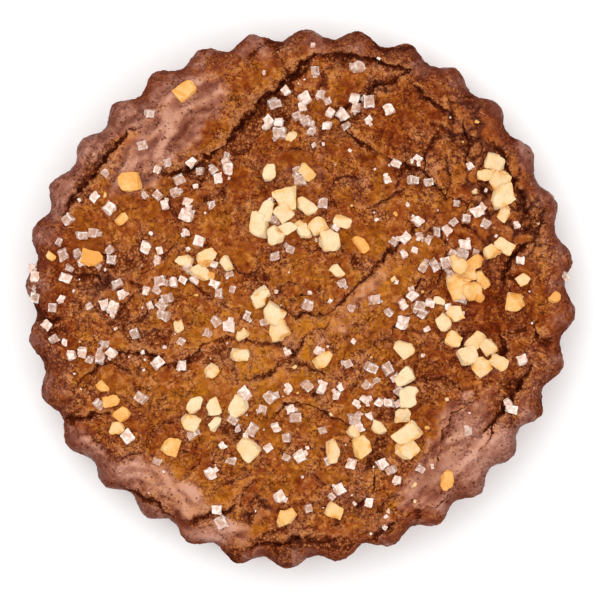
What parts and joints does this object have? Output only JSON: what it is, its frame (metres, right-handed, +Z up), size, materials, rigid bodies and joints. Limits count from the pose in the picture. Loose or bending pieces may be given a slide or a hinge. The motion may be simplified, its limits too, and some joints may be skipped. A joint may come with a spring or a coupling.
{
  "type": "speculaas cookie",
  "caption": "Thick round speculaas cookie with a fluted edge and a cracked brown crust, strewn with chopped nuts and coarse sugar, lying flat.",
  "frame": {"origin": "middle of the flat underside", "axes": "+Z up out of the crusted top; +X to the right and +Y to the top of the picture, which looks straight down"},
  "size_m": [0.1074, 0.1054, 0.0166],
  "materials": {
    "crust": "matte",
    "nut": "satin",
    "sugar": "gloss"
  },
  "bodies": {
    "root": {"cookie": "crust"}
  },
  "joints": []
}
